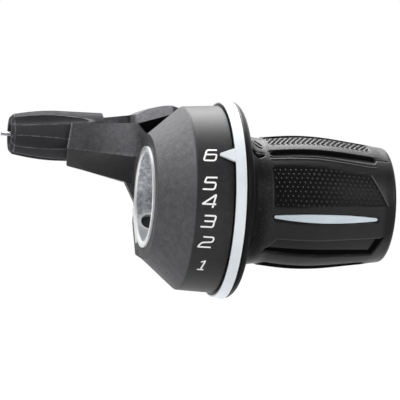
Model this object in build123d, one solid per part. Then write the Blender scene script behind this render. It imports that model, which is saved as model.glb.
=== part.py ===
from build123d import *
from math import acos, atan2, cos, hypot, radians, sin
import os

# Twist grip gear shifter for the end of a bicycle handlebar
# Millimetres. The bar runs along X through the origin, which is the centre of the
# bar bore on the housing's inboard end face. +X goes to the outboard end of the grip,
# +Z is up, and the gear numbers face -Y. Angles around the bar, called bearings here,
# start at -Y and go up, so that a bearing of 90 is +Z.

# Handlebar and fits
bar_diameter = 22.2
bar_clearance = 0.05  # bore to bar, on the radius
run_clearance = 0.06  # turning grip on the mandrel, on the radius
seat_clearance = 0.03  # pieces seated in one another within a body
turning_gap = 0.35  # between pieces that turn past each other

# Housing: cone, drum, hub and mandrel
face_rim = 1.87  # flat end face, around the hub
cone_length = 8.4
drum_radius = 22.85
drum_length = 8.8
drum_draft = 0.5  # the drum's radius grows by this to its rim
shell_wall = 2.0
front_wall = 1.7
mandrel_wall = 1.3
hub_wall = 1.1
hub_floor = 1.4
shoulder_round = 0.9

# Clamp insert, its screw, and the boss around them
insert_wall = 1.45
insert_length = 9.0
insert_proud = 0.5  # stands out of the housing's end face
insert_chamfer = 0.4
block_width = 10.0
block_length = 7.0
block_rise = 0.9  # thick block, out of the ring's outside
screw_bearing = 214.0
screw_station = 3.0
screw_diameter = 4.0
screw_length = 5.0
screw_key = 2.0
screw_key_depth = 2.2
screw_recess = 0.8  # the screw's tip stays this far behind the bore wall
boss_wall = 1.3
boss_rise = 0.25  # boss, out past the screw's outer end
boss_shoulder = 2.6  # its upper corner is cut back by this
boss_round = 0.5
boss_flare = 32.0  # its sides spread by this angle towards the drum
boss_step = 2.6  # its corners stand out of the end face's edge by this at most

# Cable nose, with its axis along X
nose_y = 14.6
nose_z = 14.6
nose_reach = 16.45  # from the end face to the tip, on the axis
nose_slant = 0.13  # the tip's top stands back by this per millimetre of height
nose_sweep = 0.28  # and its back by this per millimetre of depth
nose_root = 2.8  # the full section lies this far in front of the end face
nose_wall = 1.0
nose_ridge = 3.15  # ridge of the front faces below the axis, at the tip
nose_lean = 0.9  # the upper front face leans back by this
nose_shoulder = 3.1  # top of the upper front face above the axis, at the tip
nose_flat = 3.6  # half width of the bottom and top faces
nose_round = 0.7
nose_bevel = 0.3
root_front = 8.7
root_back = 8.6
root_ridge = 4.5
root_shoulder = 3.85
root_drop = 11.0
root_rise = 10.0
trough_radius = 6.0  # open trough behind the adjuster, inside the far wall
trough_offset = 2.0  # its axis lies this far in front of the nose axis
trough_height = 4.0  # and this far above it
web_reach = 2.8  # web below the nose's root, in front of the end face
web_drop = 16.4
web_width = 2.8
web_y = 13.9
fairing_run = 6.5  # the fairing runs out on the drum this far past the shoulder
fairing_rise = 5.5  # its height above the drum at the end face
mouth_height = 4.1  # slanted top of the far wall above the axis, at the tip
lip_height = 6.1  # and at the start of the fin
fin_start = 1.2
fin_run = 8.6
fin_height = 8.7
fin_bulge = 0.5
fin_thickness = 2.35
window_depth = 2.0
window_sill = 2.2

# Barrel adjuster
pocket_depth = 7.5
barrel_length = 23.2
barrel_radius = 6.3
barrel_tip_radius = 5.05
barrel_back_radius = 6.2
barrel_belly = 12.0  # station of the full radius, from the free end
barrel_swell = 0.2  # slope of the barrel's side at its free end
tip_chamfer = 0.8
lobe_count = 6
lobe_bearing = 10.0
flute_radius = 1.7
flute_depth = 0.8
stem_diameter = 5.0
stem_length = 8.6
casing_diameter = 5.2
casing_depth = 7.0
thread_clearance = 0.08

# Shift cable
wire_diameter = 1.1
wire_clearance = 0.35
wire_stub = 2.2
cable_bend = 7.5
head_diameter = 3.8
head_length = 4.0
wrap_at_rest = 60.0

# Grip: core, pointer ring, collar and rubber
spool_room = 3.85  # wire's centre line on the spool, in from the drum's inside
spool_lip = 0.2  # lip beside the groove, out of the wire's centre line
spool_side = 1.3
groove_clearance = 0.3
flange_gap = 0.6  # flange to the drum's inside
flange_width = 1.3
core_wall = 1.0
ring_proud = 1.6  # pointer ring, out past the drum's rim
ring_width = 2.4
ring_taper = 0.65
ring_lip = 0.3  # the ring's thickness at its thin front edge
pointer_length = 4.45
pointer_width = 3.6
pointer_thickness = 0.55
pointer_tip = 0.4
pointer_bearing = 26.8
collar_step = 0.25  # collar, in from the pointer ring
collar_width = 0.55
bead_length = 1.8  # rounded edge of the collar's back
bead_drop = 2.7
bead_bulge = 0.6
back_run = 1.9  # steep back of the collar, down to the neck's foot
foot_rise = 0.9
foot_round = 2.0
neck_length = 3.6
neck_slope = 0.1
neck_wall = 2.0  # rubber over the core at the neck, and so on along the grip
belly_station = 18.0  # from the collar's back edge
belly_wall = 2.85
waist_station = 29.5
waist_wall = 2.05
tail_wall = 0.85
tail_slope = 0.12
grip_length = 40.85  # from the pointer ring's back to the free end
grip_end_round = 1.2
end_lip = 1.1  # rubber lip over the end, outboard of the retainer
retainer_width = 1.2
retainer_height = 0.85
mandrel_inset = 0.3

# Raised and sunken forms of the rubber: bearings, and sizes along and around the bar
form_start = 8.5  # from the collar's back edge
rib_bearings = (65.25, 245.25)
rib_length = 27.6
rib_width = 7.0
rib_height = 0.35
crest_bearings = (90, 270)
crest_width = 2.9
slot_bearings = (49.5, 81, 99, 229.5, 261, 279)
slot_length = 27.0
slot_width = 1.9
slot_depth = 1.0
pad_bearings = (15.0, 195.0)
pad_corners = ((0.0, -5.2), (29.3, -4.0), (24.8, 3.5), (0.0, 5.0))
pad_depth = 0.4
stripe_bearings = (-14.0, 166.0)
stripe_start = -2.55
stripe_chord = 32.2
stripe_sag = 1.1
stripe_tip = 0.4
stripe_depth = 0.8
stripe_proud = 0.05
panel_bearings = (-44.0, 136.0)
panel_corners = ((-0.5, -1.95), (27.0, -2.9), (28.7, 2.7), (2.0, 2.2))
panel_depth = 0.8
panel_sunk = 0.25

# Detents: the twist from the highest gear down to each lower one, and the leaf spring
gear_twists = (0.0, 17.6, 28.4, 40.5, 53.9, 71.5)
detent_bearing = 300.0
notch_radius = 1.3
notch_depth = 0.75
spring_room = 4.85  # spring's seat on the core, in from the drum's inside
spring_thickness = 0.4
spring_side = 0.3
spring_reach = 28.0  # degrees from the bump to each foot
foot_room = 2.0  # degrees past each foot
spring_knee = 9.0  # degrees from the bump to each knee
knee_height = 2.6
knee_round = 2.0
bump_round = 0.8

# Sizes and places that follow
bore_radius = bar_diameter / 2 + bar_clearance
mandrel_radius = bore_radius + mandrel_wall
insert_radius = bore_radius + insert_wall
seat_radius = insert_radius + seat_clearance
hub_radius = seat_radius + hub_wall
face_radius = hub_radius + face_rim
insert_end = insert_length - insert_proud
hub_end = insert_end + hub_floor
rim_x = cone_length + drum_length
rim_radius = drum_radius + drum_draft
cup_radius = drum_radius - shell_wall
block_radius = insert_radius + block_rise
screw_radius = screw_diameter / 2
screw_start = bore_radius + screw_recess
screw_end = screw_start + screw_length
boss_radius = screw_end + boss_rise
boss_half = block_width / 2 + boss_wall

wire_radius = wire_diameter / 2
spool_radius = cup_radius - spool_room
flange_radius = cup_radius - flange_gap
spring_seat = cup_radius - spring_room
channel_radius = wire_radius + wire_clearance
head_radius = head_diameter / 2
groove_half = wire_radius + groove_clearance
spool_start = hub_end + turning_gap
wire_plane = spool_start + spool_side + groove_half
flange_start = wire_plane + groove_half
spring_pocket = flange_start + flange_width
disc_start = rim_x + turning_gap
ring_end = disc_start + ring_width
ring_radius = rim_radius + ring_proud
ring_seat = ring_radius - ring_taper - ring_lip
disc_radius = ring_seat - seat_clearance
collar_radius = ring_radius - collar_step
core_bore = mandrel_radius + run_clearance
core_radius = core_bore + core_wall
rubber_bore = core_radius + seat_clearance
collar_edge = ring_end + collar_width
foot_x = collar_edge + bead_length + back_run
neck_x = foot_x + neck_length
neck_radius = rubber_bore + neck_wall
belly_radius = rubber_bore + belly_wall
waist_radius = rubber_bore + waist_wall
tail_radius = rubber_bore + tail_wall
grip_end = ring_end + grip_length
mandrel_end = grip_end - mandrel_inset
lip_start = grip_end - end_lip
retainer_end = lip_start - turning_gap
retainer_start = retainer_end - retainer_width
retainer_radius = mandrel_radius + seat_clearance + retainer_height
core_end = retainer_start - turning_gap
form_x = collar_edge + form_start

nose_tip = -nose_reach
pocket_end = nose_tip + pocket_depth
pocket_radius = barrel_radius + turning_gap
barrel_end = pocket_end - turning_gap
barrel_start = barrel_end - barrel_length
stem_end = barrel_end + stem_length
wire_end = barrel_start - wire_stub

# The cable leaves the spool on the tangent that meets the nose axis
leave_angle = atan2(nose_z, nose_y) + acos(spool_radius / hypot(nose_y, nose_z))
head_angle = leave_angle + radians(wrap_at_rest)


def turned(*points):
    """Solid of revolution about the bar from (station, radius) points."""
    return revolve(make_face(Polyline(*points, close=True)), Axis.X)


def tube(start, end, inner, outer):
    """Round tube about the bar."""
    return turned((start, inner), (start, outer), (end, outer), (end, inner))


def sector(start, end, inner, outer, bearing, half_span):
    """Part of a tube about the bar, to both sides of a bearing."""
    face = make_face(Polyline((start, inner), (start, outer), (end, outer), (end, inner), close=True))
    return Rot(X=180 - bearing - half_span) * revolve(face, Axis.X, 2 * half_span)


def facing(bearing, station=0.0):
    """Plane through the bar whose normal points out at a bearing, with its X along the bar."""
    turn = radians(bearing)
    return Plane(origin=(station, 0, 0), x_dir=(1, 0, 0), z_dir=(0, -cos(turn), sin(turn)))


def across(station):
    """Plane across the bar, with its X along +Y and its Y along +Z."""
    return Plane(origin=(station, 0, 0), x_dir=(0, 1, 0), z_dir=(1, 0, 0))


def on_spool(angle):
    """Point of the wire's circle on the spool, from an angle that starts at +Y."""
    return Vector(wire_plane, spool_radius * cos(angle), spool_radius * sin(angle))


def nose_rod(start, end, radius):
    """Rod on the nose axis."""
    return extrude(across(start) * Pos(nose_y, nose_z) * Circle(radius), end - start)


def cable_run(last):
    """Cable centre line from the spool to a station on the nose axis."""
    leave = on_spool(leave_angle)
    corner = Vector(wire_plane, nose_y, nose_z)
    back = (leave - corner).normalized() * cable_bend
    inward = Vector(-cable_bend, 0, 0)
    centre = corner + back + inward
    middle = centre + (corner - centre).normalized() * cable_bend
    return [
        Line(leave, corner + back),
        ThreePointArc(corner + back, middle, corner + inward),
        Line(corner + inward, (last, nose_y, nose_z)),
    ]


def round_sweep(route, radius):
    """Rod of a radius along a route of edges."""
    path = Wire(route)
    return sweep(Plane(origin=path @ 0, z_dir=path % 0) * Circle(radius), path)


def nose_section(station, slant, sweep, front, back, ridge, shoulder, drop, rise, bevel=0.0):
    """Eight-sided section of the cable nose with round corners, slanted and swept back."""
    tilt = Plane(
        origin=(station, nose_y, nose_z),
        x_dir=(sweep, 1, 0),
        z_dir=(1, -sweep, -slant),
    )
    outline = make_face(
        Polyline(
            (-front, -ridge),
            (-front + nose_lean, shoulder),
            (-nose_flat, rise),
            (nose_flat, rise),
            (back, shoulder),
            (back, -ridge),
            (nose_flat, -drop),
            (-nose_flat, -drop),
            close=True,
        )
    )
    outline = fillet(outline.vertices(), nose_round)
    return tilt * (offset(outline, -bevel) if bevel else outline)


def cable_nose():
    """Nose that carries the adjuster, open on top, with a fin that runs up to the drum."""
    shroud = pocket_radius + nose_wall
    sizes = (shroud + nose_lean / 2, shroud, nose_ridge, nose_shoulder, shroud, shroud)
    rim = nose_section(nose_tip, nose_slant, nose_sweep, *sizes, bevel=nose_bevel)
    tip = nose_section(nose_tip + nose_bevel, nose_slant, nose_sweep, *sizes)
    root = nose_section(
        -nose_root, 0, 0, root_front, root_back, root_ridge, root_shoulder, root_drop, root_rise
    )
    nose = loft([rim, tip, root], ruled=True)

    # The fairing keeps the root's section and runs out on the drum under a turned cone
    fairing_end = cone_length + fairing_run
    fairing = extrude(root, fairing_end + nose_root, dir=(1, 0, 0))
    crest = drum_radius + fairing_rise
    slope = fairing_rise / fairing_end
    first = crest + slope * nose_root
    fairing &= turned(
        (-nose_root, 0), (-nose_root, first), (fairing_end, drum_radius), (fairing_end, 0)
    )
    nose += fairing

    # Top cut: slanted over the far wall, then a bulged fin up to the drum
    above = nose_z + root_rise + root_drop
    behind = nose_y + root_back + root_front
    lip = (-fin_start, nose_z + lip_height)
    fin = (fin_run - fin_start, nose_z + fin_height)
    bulged = (
        (lip[0] + fin[0]) / 2 - fin_bulge * (fin[1] - lip[1]) / fin_run,
        (lip[1] + fin[1]) / 2 + fin_bulge,
    )
    mouth = (2 * nose_tip - lip[0], nose_z + 2 * mouth_height - lip_height)
    top = [
        Line(mouth, lip),
        ThreePointArc(lip, bulged, fin),
        Polyline(fin, (fairing_end, fin[1]), (fairing_end, above), (mouth[0], above), mouth),
    ]
    nose -= extrude(Plane.XZ * make_face(top), -behind)

    # The near wall is lower, and the far wall stands round an open trough behind the adjuster
    sill = Polyline(
        (barrel_start, nose_z + nose_shoulder),
        (nose_tip, nose_z + nose_shoulder),
        (lip[0], nose_z + root_shoulder),
        (lip[0], above),
        (barrel_start, above),
        close=True,
    )
    trough = across(nose_tip) * Pos(nose_y - trough_offset, nose_z + trough_height)
    room = extrude(trough * Circle(trough_radius), lip[0] - nose_tip)
    nose -= extrude(Plane.XZ * make_face(sill), trough_offset - nose_y)
    nose -= extrude(Plane.XZ * make_face(sill), -behind) & room

    # Window under the fin, where the cable is fed in
    window = Polyline(
        (lip[0], lip[1] - fin_thickness),
        (fin[0], fin[1] - fin_thickness),
        (fin[0], nose_z),
        (fin[0] - window_depth, nose_z),
        (lip[0] + window_depth, lip[1] - fin_thickness - window_sill),
        close=True,
    )
    nose -= extrude(Plane.XZ * make_face(window), -nose_y)

    # Web from the nose's underside down to the end face
    web = Polyline(
        (-web_reach, nose_z - root_drop),
        (-web_reach, nose_z),
        (front_wall, nose_z),
        (front_wall, nose_z - web_drop),
        (0, nose_z - web_drop),
        close=True,
    )
    return nose + Pos(0, web_y + web_width / 2, 0) * extrude(Plane.XZ * make_face(web), web_width)


def screw_block(inner, outer, length, width, start):
    """Block around the clamp screw, square to the bore, from a station along the bar."""
    side = facing(screw_bearing, start + length / 2)
    return extrude(side.offset(inner) * Rectangle(length, width), outer - inner)


def screw_boss():
    """Boss around the clamp insert's block, flared to the drum under a turned cone."""
    turn = radians(screw_bearing)
    frame = Plane(origin=(0, 0, 0), x_dir=(0, sin(turn), cos(turn)), z_dir=(1, 0, 0))
    outline = make_face(
        Polyline(
            (-boss_half, 0),
            (-boss_half, boss_radius - boss_shoulder),
            (boss_shoulder - boss_half, boss_radius),
            (boss_half, boss_radius),
            (boss_half, 0),
            close=True,
        )
    )
    outer = outline.vertices().sort_by(Axis.Y)[-2:]
    boss = extrude(frame * fillet(outer, boss_round), cone_length, taper=-boss_flare)
    return boss & turned(
        (0, 0), (0, face_radius + boss_step), (cone_length, drum_radius), (cone_length, 0)
    )


def build_housing():
    """One moulding: cone, drum, hub, mandrel, cable nose, screw boss and detent notches."""
    outline = make_face(
        Polyline(
            (0, 0),
            (0, face_radius),
            (cone_length, drum_radius),
            (rim_x, rim_radius),
            (rim_x, 0),
            close=True,
        )
    )
    shoulder = outline.vertices().sort_by_distance((cone_length, drum_radius, 0))[0]
    body = revolve(fillet(shoulder, shoulder_round), Axis.X) + cable_nose()
    boss = screw_boss()
    body += boss

    # Inside, the cone and drum are a shell around the hub
    rise = (drum_radius - face_radius) / cone_length
    cone_start = front_wall
    cone_end = cone_start + (cup_radius - hub_radius) / rise
    cavity = turned(
        (hub_end, mandrel_radius),
        (hub_end, hub_radius),
        (cone_start, hub_radius),
        (cone_end, cup_radius),
        (rim_x, cup_radius),
        (rim_x, mandrel_radius),
    )
    body -= cavity - boss
    body += tube(hub_end, mandrel_end, bore_radius, mandrel_radius)

    # Bar bore, insert seat and screw hole
    body -= tube(barrel_start, 0, 0, seat_radius)
    body -= tube(0, mandrel_end, 0, bore_radius)
    body -= tube(0, insert_end + seat_clearance, 0, seat_radius)
    body -= screw_block(
        0,
        block_radius + seat_clearance,
        block_length - insert_proud + seat_clearance,
        block_width + 2 * seat_clearance,
        0,
    )
    body -= screw_rod(0, drum_radius, screw_radius + thread_clearance)

    # Adjuster pocket, its thread, and the cable channel
    body -= nose_rod(barrel_start, pocket_end, pocket_radius)
    body -= nose_rod(pocket_end, stem_end + turning_gap, stem_diameter / 2 + thread_clearance)
    body -= round_sweep(cable_run(stem_end), channel_radius)

    # Detent notches, one for each gear
    notch_centre = cup_radius + notch_depth - notch_radius
    for twist in gear_twists:
        turn = radians(detent_bearing - twist)
        place = across(spring_pocket) * Pos(-notch_centre * cos(turn), notch_centre * sin(turn))
        body -= extrude(place * Circle(notch_radius), rim_x - spring_pocket)
    return body


def screw_rod(start, end, radius):
    """Rod on the clamp screw's axis, between two distances from the bar's centre."""
    side = facing(screw_bearing, screw_station)
    return extrude(side.offset(start) * Circle(radius), end - start)


def build_clamp_insert():
    """Metal ring in the housing's mouth, with a thick block for the clamp screw."""
    ring = turned(
        (-insert_proud, bore_radius + insert_chamfer),
        (-insert_proud, insert_radius),
        (insert_end, insert_radius),
        (insert_end, bore_radius),
        (insert_chamfer - insert_proud, bore_radius),
    )
    block = screw_block(0, block_radius, block_length, block_width, -insert_proud)
    block -= tube(-insert_length, insert_length, 0, bore_radius + insert_wall / 2)
    return ring + block - screw_rod(0, boss_radius, screw_radius + thread_clearance)


def build_clamp_screw():
    """Socket set screw, backed off so that its tip is clear of the bar."""
    key = facing(screw_bearing, screw_station).offset(screw_end - screw_key_depth)
    socket = extrude(key * RegularPolygon(screw_key / 2, 6, major_radius=False), screw_key_depth)
    return screw_rod(screw_start, screw_end, screw_radius) - socket


def build_barrel_adjuster():
    """Fluted barrel with a hollow stem, a stop for the cable casing and a hole for the wire."""
    belly = barrel_start + barrel_belly
    profile = [
        Polyline(
            (belly, barrel_radius),
            (belly, 0),
            (barrel_start, 0),
            (barrel_start, barrel_tip_radius - tip_chamfer),
            (barrel_start + tip_chamfer, barrel_tip_radius),
        ),
        Spline(
            (barrel_start + tip_chamfer, barrel_tip_radius),
            (belly, barrel_radius),
            tangents=[(1, barrel_swell), (1, 0)],
        ),
    ]
    back = Polyline(
        (belly, 0), (belly, barrel_radius), (barrel_end, barrel_back_radius), (barrel_end, 0), close=True
    )
    barrel = revolve(make_face(profile), Axis.X) + revolve(make_face(back), Axis.X)
    lean = Vector(barrel_belly, barrel_radius - barrel_tip_radius, 0)
    rim = barrel_tip_radius + flute_radius - flute_depth
    flute = Plane(origin=(barrel_start, rim, 0), z_dir=lean) * Circle(flute_radius)
    cutter = extrude(flute, 2 * barrel_length, both=True)
    for lobe in range(lobe_count):
        barrel -= Rot(X=180 - lobe_bearing - (lobe + 0.5) * 360 / lobe_count) * cutter
    barrel = Pos(0, nose_y, nose_z) * barrel
    barrel += nose_rod(barrel_end, stem_end, stem_diameter / 2)
    barrel -= nose_rod(barrel_start, barrel_start + casing_depth, casing_diameter / 2)
    return barrel - nose_rod(barrel_start, stem_end, channel_radius)


def build_shift_cable():
    """Inner wire, round the spool and through the nose to its cut end."""
    middle = (head_angle + leave_angle) / 2
    wrap = ThreePointArc(on_spool(head_angle), on_spool(middle), on_spool(leave_angle))
    return round_sweep([wrap] + cable_run(wire_end), wire_radius)


def head_plane(gap):
    """Plane across the wire at its head, past a gap, with its X pointing out from the bar."""
    out = Vector(0, cos(head_angle), sin(head_angle))
    tangent = Vector(0, -sin(head_angle), cos(head_angle))
    return Plane(origin=on_spool(head_angle) + tangent * gap, x_dir=out, z_dir=tangent)


def build_cable_head():
    """Cast head on the wire's end."""
    return extrude(head_plane(seat_clearance) * Circle(head_radius), head_length)


def build_grip_core():
    """Rigid sleeve with the cable spool, the spring's pocket and the collar disc."""
    lip_radius = spool_radius + spool_lip
    groove = spool_radius - groove_half
    core = turned(
        (spool_start, core_bore),
        (spool_start, lip_radius),
        (wire_plane - groove_half, lip_radius),
        (wire_plane - groove_half, groove),
        (flange_start, groove),
        (flange_start, flange_radius),
        (disc_start, flange_radius),
        (disc_start, disc_radius),
        (ring_end, disc_radius),
        (ring_end, core_radius),
        (core_end, core_radius),
        (core_end, core_bore),
    )
    room = head_radius + seat_clearance
    seat = Circle(room) + Pos(flange_radius / 2, 0) * Rectangle(flange_radius, 2 * room)
    core -= extrude(head_plane(0) * seat, head_length + 2 * seat_clearance)
    span = spring_reach + foot_room
    return core - sector(spring_pocket, disc_start, spring_seat, disc_radius, detent_bearing, span)


def build_detent_spring():
    """Leaf spring: two feet on the core, two knees, and a bump in the housing's notch."""
    foot = spring_seat + spring_thickness / 2 + seat_clearance
    knee = foot + knee_height
    bump = cup_radius + notch_depth - turning_gap
    corners = [
        (foot, spring_reach),
        (knee, spring_knee),
        (bump, 0),
        (knee, -spring_knee),
        (foot, -spring_reach),
    ]
    start = spring_pocket + spring_side
    width = disc_start - spring_side - start
    points = [
        (
            start,
            -radius * cos(radians(detent_bearing + turn)),
            radius * sin(radians(detent_bearing + turn)),
        )
        for radius, turn in corners
    ]
    path = FilletPolyline(*points, radius=[knee_round, bump_round, knee_round])
    strip = Plane(origin=path @ 0, x_dir=(1, 0, 0), z_dir=path % 0)
    section = strip * Pos(width / 2, 0) * Rectangle(width, spring_thickness)
    return sweep(section, path)


def build_indicator_ring():
    """White ring on the collar disc, with a pointer tongue that lies over the drum."""
    ring = turned(
        (disc_start, ring_seat),
        (disc_start, ring_seat + ring_lip),
        (ring_end, ring_radius),
        (ring_end, ring_seat),
    )
    half = pointer_width / 2
    tip = disc_start - pointer_length
    outline = make_face(
        Polyline(
            (ring_end, -half),
            (disc_start, -half),
            (tip, 0),
            (disc_start, half),
            (ring_end, half),
            close=True,
        )
    )
    point = outline.vertices().sort_by(Axis.X)[0]
    tongue = extrude(facing(pointer_bearing) * fillet(point, pointer_tip), ring_radius)
    under = rim_radius + turning_gap
    tongue &= tube(tip, disc_start + ring_width / 2, under, under + pointer_thickness)
    return ring + (tongue - tube(disc_start - seat_clearance, ring_end, 0, ring_seat))


def barrel_curve(inset):
    """Outer line of the grip from its neck to its free end, drawn in by an inset."""
    return Spline(
        (neck_x, neck_radius - inset),
        (collar_edge + belly_station, belly_radius - inset),
        (collar_edge + waist_station, waist_radius - inset),
        (grip_end, tail_radius - inset),
        tangents=[(1, neck_slope), (1, -tail_slope)],
    )


def barrel_solid(inset):
    """The grip's barrel, drawn in by an inset, from the neck to the free end."""
    curve = barrel_curve(inset)
    closing = Polyline(curve @ 1, (grip_end, 0), ((curve @ 0).X, 0), curve @ 0)
    return revolve(make_face([curve, closing]), Axis.X)


def form(bearing, face):
    """Column through the grip's surface with a face's outline, drawn from the forms' start."""
    return extrude(facing(bearing, form_x) * face, collar_radius)


def bar_outline(length, width):
    """Long outline with round ends, for a rib or a slot."""
    return Pos(length / 2, 0) * SlotOverall(length, width)


def cornered_outline(corners, margin=0.0):
    """Outline with straight sides between corners, drawn in by a margin."""
    outline = make_face(Polyline(*corners, close=True))
    return offset(outline, -margin) if margin else outline


def lens_outline(margin=0.0):
    """Lens between two shallow arcs, with small round tips, drawn in by a margin."""
    start = (stripe_start, 0)
    end = (stripe_start + stripe_chord, 0)
    middle = stripe_start + stripe_chord / 2
    upper = ThreePointArc(start, (middle, stripe_sag), end)
    lower = ThreePointArc(end, (middle, -stripe_sag), start)
    outline = make_face([upper, lower])
    outline = fillet(outline.vertices(), stripe_tip)
    return offset(outline, -margin) if margin else outline


def build_grip_rubber():
    """Soft sleeve: collar back, neck and barrel, with ribs, slots, pads and seats for the inlays."""
    curve = barrel_curve(0)
    edge = Vector(collar_edge, collar_radius)
    bead = edge + Vector(bead_length, -bead_drop)
    bulge = Vector(bead_drop, bead_length).normalized() * bead_bulge
    foot = Vector(foot_x, neck_radius + foot_rise)
    chamber = retainer_radius + turning_gap
    lip_bore = mandrel_radius + turning_gap
    outline = make_face(
        [
            Polyline((ring_end, rubber_bore), (ring_end, collar_radius), edge),
            ThreePointArc(edge, (edge + bead) / 2 + bulge, bead),
            Polyline(bead, foot, curve @ 0),
            curve,
            Polyline(
                curve @ 1,
                (grip_end, lip_bore),
                (lip_start, lip_bore),
                (lip_start, chamber),
                (core_end + seat_clearance, chamber),
                (core_end + seat_clearance, rubber_bore),
                (ring_end, rubber_bore),
            ),
        ]
    )
    outline = fillet(outline.vertices().sort_by_distance(foot)[0], foot_round)
    corner = outline.vertices().sort_by_distance(curve @ 1)[0]
    sleeve = revolve(fillet(corner, grip_end_round), Axis.X)
    raised = barrel_solid(-rib_height)
    for bearings, width in ((rib_bearings, rib_width), (crest_bearings, crest_width)):
        for bearing in bearings:
            sleeve += (form(bearing, bar_outline(rib_length, width)) & raised) - barrel_solid(slot_depth)
    sunken = [
        (slot_bearings, bar_outline(slot_length, slot_width), slot_depth),
        (pad_bearings, cornered_outline(pad_corners), pad_depth),
        (stripe_bearings, lens_outline(), stripe_depth),
        (panel_bearings, cornered_outline(panel_corners), panel_depth),
    ]
    for bearings, outline, depth in sunken:
        floor = barrel_solid(depth)
        for bearing in bearings:
            sleeve -= form(bearing, outline) - floor
    return sleeve


def inlay(bearings, outline, top, depth):
    """Pieces let into the rubber, with their top and their back following the barrel."""
    layer = barrel_solid(top) - barrel_solid(depth - seat_clearance)
    return Compound(children=[(form(b, outline) & layer).solid() for b in bearings])


def build_grip_retainer():
    """Snap ring on the mandrel's end that keeps the grip on."""
    return tube(retainer_start, retainer_end, mandrel_radius + seat_clearance, retainer_radius)


pieces = {
    "housing": build_housing(),
    "clamp_insert": build_clamp_insert(),
    "clamp_screw": build_clamp_screw(),
    "barrel_adjuster": build_barrel_adjuster(),
    "shift_cable": build_shift_cable(),
    "cable_head": build_cable_head(),
    "grip_core": build_grip_core(),
    "detent_spring": build_detent_spring(),
    "indicator_ring": build_indicator_ring(),
    "grip_rubber": build_grip_rubber(),
    "grip_stripe": inlay(stripe_bearings, lens_outline(seat_clearance), -stripe_proud, stripe_depth),
    "badge_panel": inlay(
        panel_bearings, cornered_outline(panel_corners, seat_clearance), panel_sunk, panel_depth
    ),
    "grip_retainer": build_grip_retainer(),
}

os.makedirs("parts", exist_ok=True)
for name, piece in pieces.items():
    export_step(piece, f"parts/{name}.step")
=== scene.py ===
import math

import bpy
import numpy as np
from mathutils import Matrix, Vector


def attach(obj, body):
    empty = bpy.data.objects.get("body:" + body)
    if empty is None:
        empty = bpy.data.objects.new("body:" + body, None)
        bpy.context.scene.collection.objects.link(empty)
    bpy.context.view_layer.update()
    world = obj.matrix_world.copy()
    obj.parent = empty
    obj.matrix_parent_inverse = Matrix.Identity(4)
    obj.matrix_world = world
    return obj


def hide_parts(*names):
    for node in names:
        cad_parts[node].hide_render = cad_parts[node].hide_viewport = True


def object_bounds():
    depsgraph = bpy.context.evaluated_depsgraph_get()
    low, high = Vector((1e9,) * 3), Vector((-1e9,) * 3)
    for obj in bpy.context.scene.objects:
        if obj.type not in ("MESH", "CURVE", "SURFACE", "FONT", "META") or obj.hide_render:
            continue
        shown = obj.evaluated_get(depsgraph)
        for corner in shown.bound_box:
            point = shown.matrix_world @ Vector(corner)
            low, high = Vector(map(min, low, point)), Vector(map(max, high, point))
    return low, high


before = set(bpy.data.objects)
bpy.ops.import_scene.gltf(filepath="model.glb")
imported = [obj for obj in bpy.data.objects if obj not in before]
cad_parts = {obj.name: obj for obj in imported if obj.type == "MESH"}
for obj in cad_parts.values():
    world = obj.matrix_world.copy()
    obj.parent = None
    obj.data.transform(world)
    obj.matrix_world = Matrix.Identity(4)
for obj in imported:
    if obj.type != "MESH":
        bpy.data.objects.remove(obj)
cad_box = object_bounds()


# Housing
# One moulding in glass-filled black nylon: cone, drum, cable nose, screw boss and mandrel.
# The mould leaves a spark-eroded grain on the cone and the nose and a smoother drum.
class Value:
    """A shader value in a node tree: operators on it add Math nodes, node() adds any other node."""

    def __init__(self, tree, socket=None):
        self.tree, self.socket = tree, socket

    def node(self, kind, settings=None, sockets=None, out=0):
        """Adds a node of a type, sets its settings, then its sockets' values or links."""
        made = self.tree.nodes.new("ShaderNode" + kind)
        for key, value in (settings or {}).items():
            setattr(made, key, value)
        for key, value in (sockets or {}).items():
            if isinstance(value, Value):
                self.tree.links.new(value.socket, made.inputs[key])
            else:
                made.inputs[key].default_value = value
        return Value(self.tree, made.outputs[out] if made.outputs else None)

    def split(self):
        """The three coordinates of this place."""
        parts = self.node("SeparateXYZ", None, {0: self}).socket.node.outputs
        return tuple(Value(self.tree, part) for part in parts)

    def scale(self, factor):
        """This place or colour times a factor."""
        return self.node("VectorMath", {"operation": "SCALE"}, {0: self, "Scale": factor})

    def stretch(self, factors):
        """This place with each coordinate times its own factor."""
        return self.node("VectorMath", {"operation": "MULTIPLY"}, {0: self, 1: factors})

    def noise(self, scale, detail=2.0, roughness=0.5):
        """Cloudy noise at this place, from 0 to 1."""
        sockets = {"Vector": self, "Scale": scale, "Detail": detail, "Roughness": roughness}
        return self.node("TexNoise", None, sockets)

    def math(self, operation, *others):
        """This value, and any others, put through a Math node."""
        return self.node("Math", {"operation": operation}, dict(enumerate((self, *others))))

    def hypot(self, other):
        """Long side of a right triangle on this value and another."""
        return (self * self + other * other).math("SQRT")

    def rise(self, low, high):
        """0 below low, 1 above high, with a soft step between them."""
        sockets = {"Value": self, "From Min": low, "From Max": high}
        return self.node("MapRange", {"interpolation_type": "SMOOTHSTEP"}, sockets)

    def tint(self, low, high):
        """A colour between two colours, by this value."""
        sockets = {0: self, 6: low, 7: high}
        return self.node("Mix", {"data_type": "RGBA"}, sockets, out=2)

    def __add__(self, other):
        return self.math("ADD", other)

    def __sub__(self, other):
        return self.math("SUBTRACT", other)

    def __rsub__(self, other):
        return self.node("Math", {"operation": "SUBTRACT"}, {0: other, 1: self})

    def __mul__(self, other):
        return self.math("MULTIPLY", other)

    def __truediv__(self, other):
        return self.math("DIVIDE", other)

    def __neg__(self):
        return self.math("MULTIPLY", -1.0)

    __radd__, __rmul__ = __add__, __mul__


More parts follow.
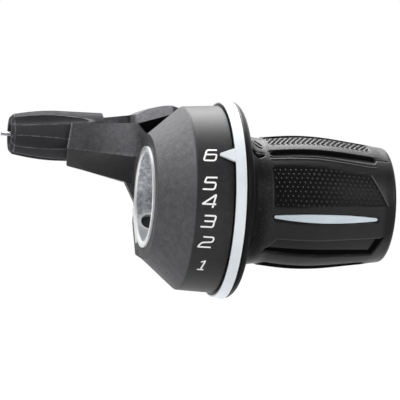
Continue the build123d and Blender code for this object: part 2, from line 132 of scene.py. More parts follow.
def finish(name):
    """A new material with an empty tree: the material, its tree, and the place in millimetres."""
    material = bpy.data.materials.new(name)
    material.use_nodes = True
    material.node_tree.nodes.clear()
    tree = Value(material.node_tree)
    return material, tree, tree.node("TexCoord", out="Object").scale(1000.0)


def principled(tree, **sockets):
    """A Principled shader with these sockets, whose names have underscores for spaces."""
    named = {key.replace("_", " "): value for key, value in sockets.items()}
    return tree.node("BsdfPrincipled", None, named)


def shade(tree, **sockets):
    """A Principled shader with these sockets, wired to the material's output."""
    tree.node("OutputMaterial", None, {"Surface": principled(tree, **sockets)})


def relief(tree, height, distance, strength=1.0):
    """The normal of a surface with a height of 0 to 1 that stands for a distance in millimetres."""
    sockets = {"Strength": strength, "Distance": distance * 0.001, "Height": height}
    return tree.node("Bump", None, sockets)


def coat(node, material):
    """Gives a CAD node's object one material."""
    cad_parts[node].data.materials.clear()
    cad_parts[node].data.materials.append(material)


nose_y, nose_z = 14.6, 14.6
nose_reach, nose_slant, nose_sweep, nose_flat = 16.45, 0.13, 0.28, 3.6
root_x, ridge_low, ridge_climb = -2.8, 10.1, 0.0848
face_radius, cone_slope, cone_length = 15.6, 0.863, 8.4
flush_depth, flush_radius = 0.06, 17.2
grained, tree, place = finish("housing_plastic")
station, side, height = place.split()
radius = side.hypot(height)
# Smooth parts: the drum, and the nose's front below its ridge
drum = station.rise(8.0, 8.3) * radius.rise(21.5, 22.3)
ridge = ridge_low + ridge_climb * (root_x - station).math("MAXIMUM", 0.0)
belly = (ridge - height).rise(-0.12, 0.15) * height.rise(3.3, 3.7) * (-station).rise(0.5, 1.5)
smooth = drum.math("MAXIMUM", belly)
grit = place.noise(3.2, 3.0, 0.65)
cloud = place.noise(0.7, 4.0, 0.6)
pale = 0.75 + 0.5 * grit.rise(0.3, 0.7)
tone = smooth.tint((0.062, 0.061, 0.066, 1), (0.014, 0.014, 0.0155, 1))
# Dark end face around the insert, and a painted highlight along the nose's tip
flush = (flush_depth - station.math("ABSOLUTE")).rise(0.0, flush_depth / 2)
flush = flush * (flush_radius - radius).rise(0.0, 0.1)
tone = flush.tint(tone, (0.034, 0.034, 0.036, 1))
tip = station + nose_reach - nose_slant * (height - nose_z) - nose_sweep * (side - nose_y)
# Painted highlight along the edge of the nose's tip, broken up by the grain
tip_highlight = (0.5 - tip).rise(0.0, 0.35) * grit.rise(0.3, 0.6) * (height - ridge).rise(-0.1, 0.2)
tone = tip_highlight.tint(tone, (0.24, 0.24, 0.25, 1))
# Painted light on the side that faces the camera: paler up the cone, at the nose's root, on its ridge and on
# the fin, darker towards the nose's tip, and paler on the trough's far wall
root = (-station).rise(0.5, 2.5) * (station + 15).rise(0.0, 12.0)
proud = (radius - face_radius - cone_slope * station.math("MINIMUM", cone_length)).rise(0.1, 0.4)
proud = proud.math("MAXIMUM", (-station).rise(flush_depth, 0.3))
front = proud * (nose_y - nose_flat - side).rise(0.0, 0.8)
front = front + (1 - proud) * (-side / radius).rise(0.13, 0.79)
# Painted highlight along the nose's ridge, on the side that faces the camera
brow = (1 - (height - ridge - 0.05).math("ABSOLUTE").rise(0.06, 0.2)) * (-station).rise(0.5, 1.5)
tone = (0.5 * brow * front * cloud.rise(0.3, 0.6)).tint(tone, (0.16, 0.16, 0.17, 1))
front = front * (1 - smooth) * (1 - flush)
fin = height.rise(18.0, 20.0) * station.rise(-3.0, -1.0) * proud
lit = 0.5 * height.rise(-2.0, 16.0) + 0.8 * fin + 0.65 * root - 0.7 * (-station).rise(5.0, 14.0)
# Painted light on the inner face of the trough's far wall, which sits in shade
far = height.rise(17.8, 18.2) * (-station).rise(1.2, 2.0)
far = far * side.rise(10.5, 11.0) * (19.3 - side).rise(0.0, 0.5)
lit = 1 + front * lit + 1.2 * far
# The painted light is broken up by the grain and a cloudy tone
lit = lit * pale * (0.75 + 0.5 * cloud.rise(0.2, 0.8))
shade(
    tree,
    Base_Color=tone.scale(lit),
    Roughness=0.56 - 0.1 * smooth + 0.08 * cloud,
    Specular_IOR_Level=0.33,
    Normal=relief(tree, grit * (1 - 0.75 * smooth), 0.06, 0.7),
)
coat("housing", grained)


# Gear numbers
# White numbers 1 to 6, pad-printed on the drum in line with the pointer's travel.
# Each stroke is a thin film of ink, a little proud of the plastic.
ink_width, ink_film, ink_step = 0.42, 0.03, 0.08
drum_start, drum_foot, drum_slope, drum_mean = 8.4, 22.85, 0.0568, 23.0
# Corners of each stroke: station, bearing, and how far before the corner its bend starts
number_strokes = (
    (
        *((13.3, 30.8, 0), (10.85, 30.8, 0.5), (9.9, 23.8, 0.5)),
        *((12.75, 23.8, 0.6), (13.2, 27.8, 0.4), (10.45, 27.8, 0)),
    ),
    ((13.1, 13, 0), (10.5, 13, 0.1), (10, 10, 0.1), (12.8, 10, 0.6), (12.4, 5.85, 0.6), (9.5, 5.85, 0)),
    ((12, -5.2, 0), (12.85, 2.7, 0.15), (9.5, -3, 0.15), (12.85, -3, 0)),
    ((10.3, -10, 0), (13.1, -10, 0.5), (12.75, -13.4, 0.15), (10.3, -13.4, 0)),
    ((12.72, -13.3, 0), (12.5, -16.95, 0.5), (9.5, -16.95, 0)),
    (
        *((10.45, -23.4, 0), (13.1, -23.4, 0.6), (12.9, -26.6, 0.6)),
        *((10.2, -27.2, 0.6), (9.45, -30.3, 0.1), (12.6, -30.3, 0)),
    ),
    ((10.95, -41.7, 0), (11.95, -40.6, 0.08), (11.25, -48.2, 0)),
    ((10.4, -48.3, 0), (12, -48.3, 0)),
)


def piece(name, points, face_sets, body, material):
    """A smooth mesh object on a body, from points in millimetres and a list of arrays of faces."""
    mesh = bpy.data.meshes.new(name)
    mesh.vertices.add(len(points))
    mesh.vertices.foreach_set("co", (points * 0.001).ravel())
    corners = np.concatenate([np.full(len(faces), faces.shape[1]) for faces in face_sets])
    mesh.loops.add(corners.sum())
    mesh.loops.foreach_set("vertex_index", np.concatenate([faces.ravel() for faces in face_sets]))
    mesh.polygons.add(len(corners))
    mesh.polygons.foreach_set("loop_start", np.cumsum(corners) - corners)
    mesh.polygons.foreach_set("use_smooth", np.ones(len(corners), dtype=bool))
    mesh.update(calc_edges=True)
    mesh.validate()
    mesh.materials.append(material)
    made = bpy.data.objects.new(name, mesh)
    bpy.context.scene.collection.objects.link(made)
    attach(made, body)
    return made


def ring_faces(rows, columns, wrap_rows=False):
    """Quads of a grid whose columns close on themselves, and whose rows do so if asked."""
    row = np.arange(rows if wrap_rows else rows - 1)[:, None]
    column = np.arange(columns)[None, :]
    after, beside = (row + 1) % rows, (column + 1) % columns
    corners = (
        row * columns + column,
        after * columns + column,
        after * columns + beside,
        row * columns + beside,
    )
    return np.stack(np.broadcast_arrays(*corners), axis=-1).reshape(-1, 4)


def stroke_line(corners):
    """Line (station, arc) in even steps, with each corner rounded by a parabola over its own bend."""
    corners = np.array(corners, dtype=float)
    bends, corners = corners[1:-1, 2:], corners[:, :2] * (1, math.radians(drum_mean))
    runs = np.diff(corners, axis=0)
    lengths = np.linalg.norm(runs, axis=1, keepdims=True)
    ahead = runs / lengths
    before = corners[1:-1] - ahead[:-1] * np.minimum(bends, lengths[:-1] * 0.45)
    after = corners[1:-1] + ahead[1:] * np.minimum(bends, lengths[1:] * 0.45)
    t = np.linspace(0, 1, 7)[:, None, None]
    curves = (1 - t) ** 2 * before + 2 * t * (1 - t) * corners[1:-1] + t**2 * after
    line = np.concatenate([corners[:1], curves.transpose(1, 0, 2).reshape(-1, 2), corners[-1:]])
    reach = np.append(0, np.cumsum(np.linalg.norm(np.diff(line, axis=0), axis=1)))
    even = np.linspace(0, reach[-1], int(reach[-1] / ink_step))
    return np.stack([np.interp(even, reach, line[:, 0]), np.interp(even, reach, line[:, 1])], axis=1)


def stroke_mesh(corners):
    """A flat section of ink carried along a stroke's line, wrapped on the drum and closed at its ends."""
    line = stroke_line(corners)
    along = np.gradient(line, axis=0)
    along /= np.linalg.norm(along, axis=1, keepdims=True)
    across = np.stack([-along[:, 1], along[:, 0]], axis=1)
    half = ink_width / 2
    offsets = np.array([-half, -half * 0.85, half * 0.85, half, half, -half])
    lifts = np.array([0.0, 1.0, 1.0, 0.0, -1.0, -1.0]) * ink_film
    flat = line[:, None, :] + across[:, None, :] * offsets[None, :, None]
    bearing = flat[..., 1] / drum_mean
    lift = drum_foot + drum_slope * (flat[..., 0] - drum_start) + lifts
    points = np.stack([flat[..., 0], -lift * np.cos(bearing), lift * np.sin(bearing)], axis=-1)
    rows, columns = len(line), len(offsets)
    faces = ring_faces(rows, columns)
    caps = np.array([[0, 1, 2, 3], [0, 3, 4, 5], [3, 2, 1, 0], [5, 4, 3, 0]])
    caps[2:] += (rows - 1) * columns
    return points.reshape(-1, 3), np.concatenate([faces, caps])


ink, tree, place = finish("number_ink")
fleck = place.noise(6.0, 3.0)
shade(
    tree,
    Base_Color=fleck.rise(0.3, 0.7).tint((0.8, 0.8, 0.8, 1), (0.9, 0.9, 0.9, 1)),
    Roughness=0.45 + 0.15 * fleck,
)
meshes = [stroke_mesh(corners) for corners in number_strokes]
counts = np.cumsum([0] + [len(points) for points, faces in meshes])
piece(
    "gear_numbers",
    np.concatenate([points for points, faces in meshes]),
    [faces + start for (points, faces), start in zip(meshes, counts)],
    "housing",
    ink,
)


# Clamp insert
# A die-cast aluminium ring pressed into the housing's mouth, bored to the bar.
# The bore keeps a dull cast skin. The rim and the edge of the screw's hole are bright,
# and the rim's face is greyer at the top of its far side.
screw_turn, screw_x = math.radians(214.0), 3.0
alloy, tree, place = finish("insert_alloy")
station, side, height = place.split()
radius = side.hypot(height)
bore = (11.6 - radius).rise(0.0, 0.3) * station.rise(-0.2, 0.1)
beside = side * math.sin(screw_turn) + height * math.cos(screw_turn)
away = (station - screw_x).hypot(beside)
rim = (2.75 - away).rise(0.0, 0.15) * bore
cast = place.noise(0.8, 5.0, 0.75)
# The cast skin's mottling, plus painted light that makes the bore's wall paler towards the bottom
bright = cast.rise(0.35, 0.65) + 0.9 * (-height).rise(2.0, 9.0)
wall = bright.tint((0.42, 0.44, 0.49, 1), (0.95, 0.96, 0.98, 1))
crown = height.rise(5.0, 9.0) * side.rise(-3.0, 1.0) * (radius - 11.5).rise(0.0, 0.1)
face = crown.tint((0.84, 0.845, 0.85, 1), (0.42, 0.43, 0.45, 1))
shade(
    tree,
    Base_Color=(bore - rim).tint(face, wall),
    Metallic=0.4 + 0.6 * (bore - rim),
    Roughness=0.3 + 0.15 * bore + 0.1 * cast * bore,
    Normal=relief(tree, cast * bore, 0.12, 0.6),
)
coat("clamp_insert", alloy)


# Clamp screw
# A socket set screw in the insert's block, turned from the far side to bear on the bar.
# Its steel has a blotchy black oxide finish.
blacked, tree, place = finish("screw_steel")
blotch = place.noise(2.5, 3.0)
shade(
    tree,
    Base_Color=blotch.tint((0.05, 0.05, 0.055, 1), (0.12, 0.12, 0.125, 1)),
    Metallic=1.0,
    Roughness=0.3 + 0.25 * blotch,
)
coat("clamp_screw", blacked)


# Shift cable
# Bright steel strands laid in a long twist, 1.1 mm across, cut off past the adjuster.
# Its cast head sits in the spool inside the housing.
strand_count, strand_lay = 7, 5.0
strands, tree, place = finish("wire_steel")
station, side, height = place.split()
turn = (height - nose_z).math("ARCTAN2", side - nose_y)
twist = turn * strand_count + station * (2 * math.pi * strand_count / strand_lay)
# Painted shade: the strands' colour is darker in the grooves between them
lay = 0.5 + 0.5 * twist.math("SINE")
shade(
    tree,
    Base_Color=lay.tint((0.3, 0.3, 0.32, 1), (0.74, 0.75, 0.77, 1)),
    Metallic=1.0,
    Roughness=0.42 - 0.15 * lay,
    Normal=relief(tree, lay, 0.08, 0.9),
)
coat("shift_cable", strands)
cast_head, tree, place = finish("head_metal")
skin = place.noise(2.0, 4.0)
shade(
    tree,
    Base_Color=skin.tint((0.42, 0.43, 0.45, 1), (0.62, 0.63, 0.65, 1)),
    Metallic=1.0,
    Roughness=0.4 + 0.2 * skin,
    Normal=relief(tree, skin, 0.05, 0.4),
)
coat("cable_head", cast_head)


# Grip core, detent spring and retainer
# The core is a smooth black acetal sleeve that carries the spool and the collar disc.
# A steel leaf spring clicks in the drum, and a snap ring keeps the core on the mandrel.
acetal, tree, place = finish("core_plastic")
flow = place.noise(0.8, 3.0)
shade(
    tree,
    Base_Color=flow.tint((0.008, 0.008, 0.009, 1), (0.014, 0.014, 0.015, 1)),
    Roughness=0.4 + 0.15 * flow,
)
coat("grip_core", acetal)
coat("grip_retainer", acetal)
leaf, tree, place = finish("spring_steel")
grain = place.stretch((9.0, 0.6, 0.6))
roll = grain.noise(1.0)
shade(
    tree,
    Base_Color=roll.tint((0.4, 0.41, 0.43, 1), (0.6, 0.61, 0.63, 1)),
    Metallic=1.0,
    Roughness=0.25 + 0.2 * roll,
)
coat("detent_spring", leaf)


# Pointer ring
# A white acetal ring snapped on the collar disc, with a tongue that points at the numbers.
# The white is slightly cool and has a soft gloss.
white, tree, place = finish("ring_plastic")
station, side, height = place.split()
milk = place.noise(0.5, 3.0)
tone = milk.tint((0.68, 0.72, 0.76, 1), (0.74, 0.775, 0.81, 1))
# Painted shade: the white is darker towards the top and lighter towards the bottom
painted_light_by_height = 1.08 - 0.28 * height.rise(-12.0, 20.0)
shade(
    tree,
    Base_Color=tone.scale(painted_light_by_height),
    Roughness=0.38 + 0.12 * milk,
    Normal=relief(tree, place.noise(5.0), 0.02, 0.15),
)
coat("indicator_ring", white)


# Grip rubber
# A soft thermoplastic sleeve moulded over the core: collar back, necked foot and a barrel with
# a serrated rib between deep slots, a recessed studded pad, and seats for the inlays, twice round.
barrel_line = (-0.695, 0.2876, 1.4125, -1.485, -1.3069, 16.1612)
barrel_middle, barrel_half = 44.3, 16.5
sleeve_rows, sleeve_columns = 0.17, 376
rib_low, rib_high, edge_rib = 51.2, 75.6, 84.7
slot_low, slot_floor, pad_sink = 44.2, 0.8, 0.4
serration_pitch, serration_lean, serration_knee = 1.28, 0.186, 61.4
gutter, end_gutter = 1.2, 0.65
pad_top = (29, 41.3, 53.9), (33.4, 33.2, 29.4)
rake_x, rake_bearing, rake_slope = 53.9, 29.6, 0.146
lens_middle, lens_half, lens_bulge, lens_curve = 42.55, 13.45, 1.1, 16.1
end_x, end_round, sleeve_bore = 59.6, 1.2, 13.54
arc_degree = math.radians(16.2)


def soft_step(value, low, high):
    """0 below low, 1 above high, and a smooth cubic between them."""
    t = np.clip((value - low) / (high - low), 0, 1)
    return t * t * (3 - 2 * t)


def barrel_radius(x):
    """Radius of the grip's barrel: a fifth-degree curve of the station along the bar."""
    return np.polyval(barrel_line, (x - barrel_middle) / barrel_half)


def bend(start, corner, end, count):
    """Parabola from start to end that leaves and arrives in line with a corner."""
    t = np.linspace(0, 1, count)[:, None]
    return (1 - t) ** 2 * np.array(start) + 2 * t * (1 - t) * np.array(corner) + t**2 * np.array(end)


def sleeve_section():
    """Closed line (station, radius) round the sleeve's wall, from the collar's front outboard and back."""
    neck_start, neck_end = 25.27, 30.0
    span = neck_end - neck_start
    x = np.arange(neck_start, end_x, sleeve_rows)
    t = np.clip((x - neck_start) / span, 0, 1)
    neck = (
        (2 * t**3 - 3 * t**2 + 1) * 16.17
        + (t**3 - 2 * t**2 + t) * span * -0.25
        + (3 * t**2 - 2 * t**3) * barrel_radius(neck_end)
        + (t**3 - t**2) * span * 0.105
    )
    barrel = np.stack([x, np.where(x < neck_end, neck, barrel_radius(x))], axis=1)
    turn = np.linspace(0, math.pi / 2, 10)
    tail = barrel_radius(end_x) - end_round
    return np.concatenate(
        [
            [(19.97, sleeve_bore), (19.97, 19.0), (19.97, 24.5), (20.05, 24.64), (20.2, 24.7)],
            bend((20.5, 24.7), (22.4, 24.02), (22.3, 22.0), 14),
            np.linspace((22.3, 22.0), (23.845, 17.48), 10)[1:-1],
            bend((23.845, 17.48), (24.2, 16.44), (25.27, 16.17), 12)[:-1],
            barrel,
            np.stack([end_x + end_round * np.sin(turn), tail + end_round * np.cos(turn)], axis=1),
            [(60.8, 12.8), (59.7, 12.8), (59.7, 13.68), (57.83, 13.68)],
            [(57.83, sleeve_bore), (40.0, sleeve_bore)],
        ]
    )


def groove(x, arc, points, half, depth):
    """Depth of a groove along a line of (station, arc) points: full in its middle, soft at its edges."""
    points = np.array(points)
    start, run = points[:-1], np.diff(points, axis=0)
    away = np.full(x.shape, 1e3)
    for (px, pa), (rx, ra) in zip(start, run):
        t = np.clip(((x - px) * rx + (arc - pa) * ra) / (rx * rx + ra * ra), 0, 1)
        away = np.minimum(away, np.hypot(x - px - t * rx, arc - pa - t * ra))
    return depth * (1 - soft_step(away, half * 0.6, half * 1.4))


def sleeve_forms(x, bearing):
    """Height of the moulded forms over the plain barrel, and how shaded each place is, from 0 to 1."""
    fold = (bearing + 90) % 180 - 90
    arc = fold * arc_degree
    length = soft_step(x, 28.2, 29.0) * (1 - soft_step(x, 55.2, 58.6))

    # Raised ribs: the broad serrated one, and a narrow one over the top
    soft = 0.6
    raised = soft_step(fold, rib_low - soft, rib_low + soft)
    raised *= 1 - soft_step(fold, rib_high - soft, rib_high + soft)
    raised += soft_step(np.abs(fold), edge_rib - soft, edge_rib + soft)
    rise = raised * length * (0.35 - 0.2 * soft_step(x, 44, 57))

    # Serrations: bars across the broad rib that lean outboard as they climb, from a knee at their foot
    wave = np.cos(2 * math.pi * (x - 29.4 - serration_lean * np.abs(fold - serration_knee)) / serration_pitch)
    field = soft_step(fold, 59.0, 60.2) * (1 - soft_step(fold, 73.4, 74.4))
    field = field * soft_step(x, 28.9, 29.4) * (1 - soft_step(x, 54.9, 55.4))
    bars = soft_step(wave, -0.6, 0.2)
    rise -= 0.28 * field * (1 - bars)

    # Slots: a deep one with a ramp below the broad rib, and two beside the narrow rib
    taper = np.sqrt(1 - np.clip((np.abs(x - 42.5) - 12.3) / 1.3, 0, 1) ** 2)
    brink = np.interp(x, (29.0, 41.0, 55.5), (slot_low, slot_low - 0.3, slot_low - 2.6))
    across = (fold - (brink + rib_low) / 2) / ((rib_low - brink) / 2 * np.maximum(taper, 0.02))
    ramp = np.clip((across + 1) / 1.64, 0, 1) * (1 - soft_step(across, 0.72, 1.06)) * (taper > 0.02)
    rise -= slot_floor * ramp
    centre = (rib_high + edge_rib) / 2
    beside = (np.abs(fold) - centre) / ((edge_rib - rib_high) / 2 * np.maximum(taper, 0.02))
    ditch = (1 - soft_step(np.abs(beside), 0.85, 1.1)) * (taper > 0.02)
    rise -= 1.1 * ditch

    # Crease below the deep slot, and the rib's rounded brow under it
    brow = np.interp(x, (28, 41, 54), (43.4, 42.6, 39.4)) * arc_degree
    inside = soft_step(x, 28.4, 29.2) * (1 - soft_step(x, 55.0, 56.2))
    rise -= 0.16 * inside * (1 - soft_step(np.abs(arc - brow), 0.1, 0.36))
    rise += 0.1 * inside * (1 - soft_step(np.abs(arc - brow + 0.5), 0.1, 0.45))

    # Recessed pad, with a raked outboard end
    top = np.interp(x, *pad_top) - fold
    foot = fold - np.interp(x, (29, 58.3), (-4.3, -1.0))
    rake = rake_x + (rake_bearing - fold) * rake_slope - x
    inset = np.minimum(np.minimum(top, foot) * 0.283, np.minimum(rake, x - 28.95))
    pad = soft_step(inset, -0.12, 0.16)
    rise -= pad_sink * pad
    lip = (1 - soft_step(np.abs(rake + 0.3), 0.05, 0.35)) * soft_step(foot, 0, 2)
    rise += 0.06 * lip * soft_step(top, -1, 2)

    # Seats of the pale stripe and the dark panel
    along = x - lens_middle
    lens = lens_bulge * (1 - (along / lens_curve) ** 2) * (np.abs(along) < lens_half)
    stripe = arc + 14.0 * arc_degree
    seat = soft_step(lens + 0.16 - stripe, -0.1, 0.1) * soft_step(lens + 0.5 + stripe, -0.12, 0.12)
    seat *= soft_step(x, 28.8, 29.1) * (1 - soft_step(x, 56.0, 56.3))
    rise -= 0.5 * seat
    plate = arc + 44.0 * math.radians(15.6)
    low = np.interp(x, (28.5, 56.0), (-1.95, -2.9))
    high = np.interp(x, (31.0, 57.7), (2.2, 2.7))
    left = 28.5 + (plate + 1.95) * 0.6
    right = 56.0 + (plate + 2.9) * 0.304
    edge = np.minimum(plate - low + gutter, high - plate)
    edge = np.minimum(edge, np.minimum(x - left + 0.3, right + end_gutter - x))
    drain = np.maximum(soft_step(low - plate, -0.15, 0.05), soft_step(x - right, -0.15, 0.05))
    drain = drain * soft_step(edge, 0.0, 0.16)
    rise -= 0.32 * soft_step(edge, 0.0, 0.7 - 0.54 * soft_step(low - plate, -0.9, -0.4)) + 0.4 * drain

    # Slits at the neck's foot, where the sleeve is webbed to the collar
    slits = np.zeros(x.shape)
    for line, half, depth in (
        (((24.9, 20.4), (25.3, 17.5), (26.1, 16.0), (27.0, 15.6)), 0.2, 0.6),
        (((25.9, 18.8), (26.5, 18.0), (27.1, 17.0)), 0.22, 0.6),
        (((24.5, 14.0), (24.9, 12.6), (25.8, 12.1), (26.9, 12.8)), 0.42, 0.9),
        (((24.4, -9.7), (24.2, -11.4), (24.0, -13.0)), 0.2, 0.6),
        (((24.1, -14.2), (24.1, -16.4), (24.2, -18.6)), 0.2, 0.6),
    ):
        slits = np.maximum(slits, groove(x, arc, line, half, depth))
    rise -= slits

    # Parting line of the mould, clear of the forms
    parting = np.abs(fold - 48.0) * arc_degree
    plain = np.maximum(1 - soft_step(x, 27.4, 28.2), soft_step(x, 56.0, 56.4))
    rise -= 0.12 * plain * (1 - soft_step(parting, 0.08, 0.3))

    # Shade in the slots, slits, pad and gutter, at the neck, under the barrel and at its end
    wall = np.maximum(0.4 * (across > -0.9), soft_step(across, 0.58, 0.74))
    wall = wall * (1 - soft_step(across, 1.1, 1.2)) * (taper > 0.02)
    brim = (1 - soft_step(np.abs(beside), 1.05, 1.35)) * (taper > 0.02)
    between = 0.55 * field * (1 - bars)
    cut = soft_step(slits, 0.1, 0.4)
    sunk = (0.7 - 0.2 * soft_step(x, 38, 50)) * pad
    neck = 0.8 * (1 - soft_step(x, 25.5, 29.5)) * (1 - soft_step(fold, 22, 46)) * soft_step(fold, -85, -50)
    under = 0.35 * soft_step(-fold, 48, 56) * soft_step(x, 27, 30) * (1 - soft_step(x, 55, 59))
    end = 0.45 * soft_step(x, 57.0, 58.4) * soft_step(fold, -45, -25) * (1 - soft_step(fold, 15, 40))
    return rise, np.maximum.reduce([between, brim, wall, cut, sunk, drain, neck, under, end])


def folded(place):
    """Bearing of a place in degrees, with the far half turn folded onto the near one, -90 to 90."""
    station, side, height = place.split()
    angle = height.math("ARCTAN2", -side) * (180 / math.pi)
    return (angle + 90).math("FLOORED_MODULO", 180.0) - 90


def deaden(tree, face, colour, factor):
    """A shader mixed by a factor with a dead matt colour, wired to the material's output."""
    matt = principled(tree, Base_Color=colour, Roughness=1.0, Specular_IOR_Level=0.0)
    both = tree.node("MixShader", None, {0: factor, 1: face, 2: matt})
    tree.node("OutputMaterial", None, {"Surface": both})


line = sleeve_section()
heading = np.roll(line, -1, axis=0) - np.roll(line, 1, axis=0)
heading /= np.linalg.norm(heading, axis=1, keepdims=True)
outward = np.stack([-heading[:, 1], heading[:, 0]], axis=1)
zones, density = np.array((-90, -60, 36, 90)), np.array((0.7, 1.0, 1.8))
counted = np.append(0, np.cumsum(np.diff(zones) * density))
half_turn = np.interp(np.arange(sleeve_columns // 2) * 2 / sleeve_columns * counted[-1], counted, zones)
bearings = np.concatenate([half_turn, half_turn + 180])
x, bearing = np.meshgrid(line[:, 0], bearings, indexing="ij")
collar_rows, inner_radius = 24, 14.2
outer = (np.arange(len(line)) > collar_rows) & (line[:, 0] < end_x) & (line[:, 1] > inner_radius)
# The second array from sleeve_forms is painted shade, stored on the sleeve as an attribute
rise, closed = sleeve_forms(x, bearing)
rise = rise * outer[:, None]
spoke = line[:, 1:2] + outward[:, 1:2] * rise
turn = np.radians(bearing)
points = np.stack([x + outward[:, 0:1] * rise, -spoke * np.cos(turn), spoke * np.sin(turn)], axis=-1)

rubber, tree, place = finish("grip_rubber")
# Painted shade: where the sleeve's attribute is high, the rubber gives way to a dead dark colour
painted_shade = tree.node("Attribute", {"attribute_name": "painted_shade"}, out="Fac")
bloom = place.noise(0.25, 3.0)
skin = place.noise(1.6, 4.0, 0.7)
station, side, height = place.split()
foot = (32 - station).rise(0.0, 5.0) * station.rise(24.5, 26.0)
grime = skin.rise(0.52, 0.68) * (0.08 + 0.32 * foot)
fold = folded(place)
# Painted highlight: a pale line along the pad's raked edge, kept clear of the painted shade
rake = rake_x + 0.15 + (rake_bearing - fold) * rake_slope - station
rake_highlight = 1 - rake.math("ABSOLUTE").rise(0.06, 0.16)
rake_highlight = rake_highlight * fold.rise(-1.5, 0.0) * (30 - fold).rise(0.0, 2.0)
base = (0.04 + 0.08 * bloom + grime).tint((0.0015, 0.0015, 0.0017, 1), (0.05, 0.05, 0.052, 1))
face = principled(
    tree,
    Base_Color=rake_highlight.tint(base, (0.1, 0.1, 0.105, 1)),
    Roughness=0.36 + 0.12 * skin,
    Specular_IOR_Level=0.28,
    Sheen_Weight=0.1,
    Sheen_Roughness=0.32,
    Normal=relief(tree, skin, 0.09, 0.5),
)
# The painted shade's dark colour, speckled by the grime like the rubber
speckled_painted_shade = grime.tint((0.005, 0.005, 0.0053, 1), (0.05, 0.05, 0.052, 1))
deaden(tree, face, speckled_painted_shade, painted_shade * (1 - rake_highlight))
sleeve = piece(
    "rubber_sleeve",
    points.reshape(-1, 3),
    [ring_faces(len(line), sleeve_columns, wrap_rows=True)],
    "grip",
    rubber,
)
layer = sleeve.data.attributes.new("painted_shade", "FLOAT", "POINT")
layer.data.foreach_set("value", closed.astype(np.float32).ravel())
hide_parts("grip_rubber")


# Pad studs
# Small round studs moulded on the floor of each recessed pad, in staggered rows.
# The tips are glossier towards the inboard end, and painted lighter there: a painted highlight.
stud_radius, stud_height = 0.29, 0.3
stud_step, stud_row, stud_sides = 1.29, 4.09, 8


def stud_points(station, bearing):
    """Domes on the pad's floor: rings of a half ellipsoid around each (station, bearing), and its tip."""
    ring = np.arange(stud_sides) * 2 * math.pi / stud_sides
    out = np.array([1.0, 0.86, 0.5])[:, None]
    lift = np.array([-0.15, 0.5, 0.87])[:, None]
    dx = np.append((out * np.cos(ring)).ravel(), 0.0) * stud_radius
    da = np.append((out * np.sin(ring)).ravel(), 0.0) * stud_radius
    dr = np.append((lift * np.ones(stud_sides)).ravel(), 1.0) * stud_height
    x = station[:, None] + dx
    r = barrel_radius(station)[:, None] - pad_sink + dr
    turn = np.radians(bearing)[:, None] + da / r
    return np.stack([x, -r * np.cos(turn), r * np.sin(turn)], axis=-1)


row, step = np.meshgrid(np.arange(9), np.arange(24), indexing="ij")
fold = 29.9 - stud_row * row
station = 29.55 + stud_step * (step + 0.5 * (row % 2)) + 0.06 * row
inside = station < rake_x - 0.5 + (rake_bearing - fold) * rake_slope
inside &= fold < np.interp(station, *pad_top) - 1.6
station, fold = station[inside], fold[inside]
station, fold = np.concatenate([station, station]), np.concatenate([fold, fold + 180])
ring = np.arange(stud_sides)
upper, tip = 2 * stud_sides, 3 * stud_sides
start = np.arange(len(station))[:, None, None] * (tip + 1)
sides = (start + ring_faces(3, stud_sides)[:, ::-1]).reshape(-1, 4)
tips = np.stack([upper + ring, upper + (ring + 1) % stud_sides, np.full(stud_sides, tip)], axis=1)
tips = (start + tips).reshape(-1, 3)
feet = (start + ring[::-1]).reshape(-1, stud_sides)
points = stud_points(station, fold).reshape(-1, 3)

stud, tree, place = finish("stud_rubber")
polish = place.noise(0.9, 2.0)
station, side, height = place.split()
# Painted highlight: the studs are lighter and glossier towards the inboard end
inner = (48 - station).rise(0.0, 16.0)
shade(
    tree,
    Base_Color=inner.tint((0.0015, 0.0015, 0.0017, 1), (0.02, 0.02, 0.021, 1)),
    Roughness=0.45 - 0.3 * inner + 0.06 * polish,
    Specular_IOR_Level=0.5,
)
piece("pad_studs", points, [sides, tips, feet], "grip", stud)


# Grip stripes
# Pale blue-grey lens-shaped inlays, one on each side of the grip, pressed into the rubber.
# The plastic has a satin face with faint streaks along the bar.
satin, tree, place = finish("stripe_plastic")
streak = place.stretch((0.05, 2.0, 2.0))
brush = streak.noise(1.5, 4.0)
shade(
    tree,
    Base_Color=brush.rise(0.3, 0.7).tint((0.48, 0.55, 0.6, 1), (0.57, 0.64, 0.69, 1)),
    Roughness=0.35 + 0.15 * brush,
    Normal=relief(tree, brush, 0.03, 0.2),
)
coat("grip_stripe", satin)


# Dark panels
# Plates let into the rubber on each side of the grip, left bare: a satin black floor
# with a dead black band along its lower side and across its free end.
gloss, tree, place = finish("panel_plastic")
station, side, height = place.split()
fold = folded(place)
along = station - 38.5
low_band = (-45.7 - 0.012 * along * along - fold).rise(-0.3, 0.3)
end_band = (station - 55.3 - 0.08 * (fold + 44)).rise(-0.1, 0.1)
band = low_band.math("MAXIMUM", end_band)
speck = place.noise(4.5, 4.0)
face = principled(
    tree,
    Base_Color=speck.tint((0.002, 0.002, 0.0022, 1), (0.009, 0.009, 0.0095, 1)),
    Roughness=0.36 + 0.12 * speck,
    Specular_IOR_Level=0.28,
    Sheen_Weight=0.1,
    Sheen_Roughness=0.32,
    Normal=relief(tree, speck, 0.04, 0.4),
)
deaden(tree, face, (0.003, 0.003, 0.0035, 1), 0.1 + 0.9 * band)
coat("badge_panel", gloss)


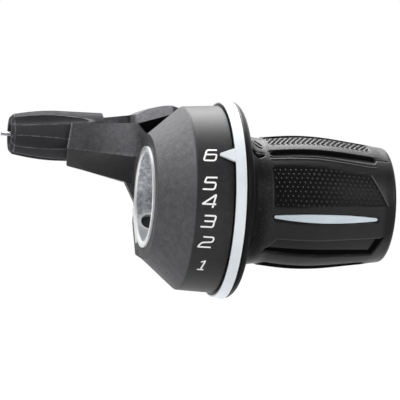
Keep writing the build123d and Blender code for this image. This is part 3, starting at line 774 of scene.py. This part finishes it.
# Barrel adjuster
# A fluted barrel in smooth black nylon, screwed into the nose to set the cable's tension.
# The flutes' edges and the rim of the free end carry a painted highlight, here and there.
tip_x, lobe_bearing, lobe_step = -32.50, 10.0, math.radians(60.0)
flute_radius, flute_start, flute_lean = 1.7, 5.95, 0.104
barrel, tree, place = finish("adjuster_plastic")
flow = place.noise(0.5, 3.0)
pore = place.noise(6.0, 2.0)
station, side, height = place.split()
side, height = side - nose_y, height - nose_z
reach = side.hypot(height)
angle = height.math("ARCTAN2", -side) - math.radians(lobe_bearing)
flute = angle.math("FLOORED_MODULO", lobe_step) - lobe_step / 2
centre = flute_start + flute_lean * (station - tip_x)
chord = reach * reach + centre * centre - 2 * reach * centre * flute.math("COSINE")
past = chord.math("SQRT") - flute_radius
# Painted highlight along the flutes' edges and the rim of the free end, broken up by the flow noise
edge = past.rise(0.01, 0.05) * (1 - past.rise(0.1, 0.3))
tip = (tip_x + 1.05 - station).rise(0.0, 0.15) * (station - tip_x).rise(0.6, 0.75)
edge = edge.math("MAXIMUM", tip) * (0.2 + 0.8 * flow.rise(0.4, 0.62))
colour = edge.tint((0.036, 0.036, 0.039, 1), (0.15, 0.15, 0.155, 1))
face = principled(
    tree,
    Base_Color=colour,
    Roughness=0.36 + 0.12 * flow,
    Specular_IOR_Level=0.2,
    Normal=relief(tree, pore, 0.03, 0.3),
)
deaden(tree, face, colour, 0.7 + 0.2 * flow)
coat("barrel_adjuster", barrel)


# Studio
# A pale floor below, and a surround that looks white but lights the part mostly from behind.
# One broad lamp hangs above and behind, and one stands to each side of the camera.
floor_z, floor_half = cad_box[0][2] - 0.03, 8
floor = bpy.data.objects.new("floor", bpy.data.meshes.new("floor"))
corners = ((-1, -1), (1, -1), (1, 1), (-1, 1))
floor.data.from_pydata([(floor_half * x, floor_half * y, floor_z) for x, y in corners], [], [(0, 1, 2, 3)])
bpy.context.scene.collection.objects.link(floor)
paper, tree, place = finish("floor_paper")
ray = tree.node("LightPath", out="Is Camera Ray")
pale = tree.node("BsdfDiffuse", None, {"Color": (0.5, 0.5, 0.5, 1)})
glow = tree.node("Emission", None, {"Color": (1, 1, 1, 1), "Strength": 1.34})
both = tree.node("MixShader", None, {0: ray * 0.7, 1: pale, 2: glow})
tree.node("OutputMaterial", None, {"Surface": both})
floor.data.materials.append(paper)

world = bpy.data.worlds.new("surround")
bpy.context.scene.world = world
world.use_nodes = True
world.node_tree.nodes.clear()
sky = Value(world.node_tree)
ray = sky.node("LightPath", out="Is Camera Ray")
behind = sky.node("TexCoord", out="Generated").split()[1]
level = ray.math("MAXIMUM", 0.12 + 0.88 * behind.rise(-0.1, 0.6))
backdrop = sky.node("Background", None, {"Color": (1, 1, 1, 1), "Strength": level})
sky.node("OutputWorld", None, {"Surface": backdrop})

for name, spot, size, power in (
    ("lamp_top", (0.02, 0.26, 0.5), 0.5, 7.0),
    ("lamp_left", (-0.5, -0.2, 0.6), 0.4, 5.4),
    ("lamp_right", (0.65, -0.5, 0.25), 0.4, 4.2),
):
    lamp = bpy.data.lights.new(name, "AREA")
    lamp.size, lamp.energy = size, power
    holder = bpy.data.objects.new(name, lamp)
    holder.location = spot
    holder.rotation_euler = (Vector((0.015, 0, 0)) - Vector(spot)).to_track_quat("-Z", "Y").to_euler()
    bpy.context.scene.collection.objects.link(holder)

yaw, roll = math.radians(12.3), math.radians(2.05)
aim = Vector((0.0139, 0, -0.0003))
reach = 0.6
forward = Vector((math.sin(yaw), math.cos(yaw), 0))
right, up = forward.cross(Vector((0, 0, 1))), Vector((0, 0, 1))
right, up = (
    right * math.cos(roll) + up * math.sin(roll),
    up * math.cos(roll) - right * math.sin(roll),
)
camera = bpy.data.objects.new("camera", bpy.data.cameras.new("camera"))
camera.data.sensor_width, camera.data.lens = 36, 216.6
camera.data.clip_start, camera.data.clip_end = 0.01, 20
camera.matrix_world = Matrix(
    (
        (right.x, up.x, -forward.x, aim.x - forward.x * reach),
        (right.y, up.y, -forward.y, aim.y - forward.y * reach),
        (right.z, up.z, -forward.z, aim.z - forward.z * reach),
        (0, 0, 0, 1),
    )
)
bpy.context.scene.collection.objects.link(camera)
bpy.context.scene.camera = camera
bpy.context.scene.view_settings.view_transform = "Standard"
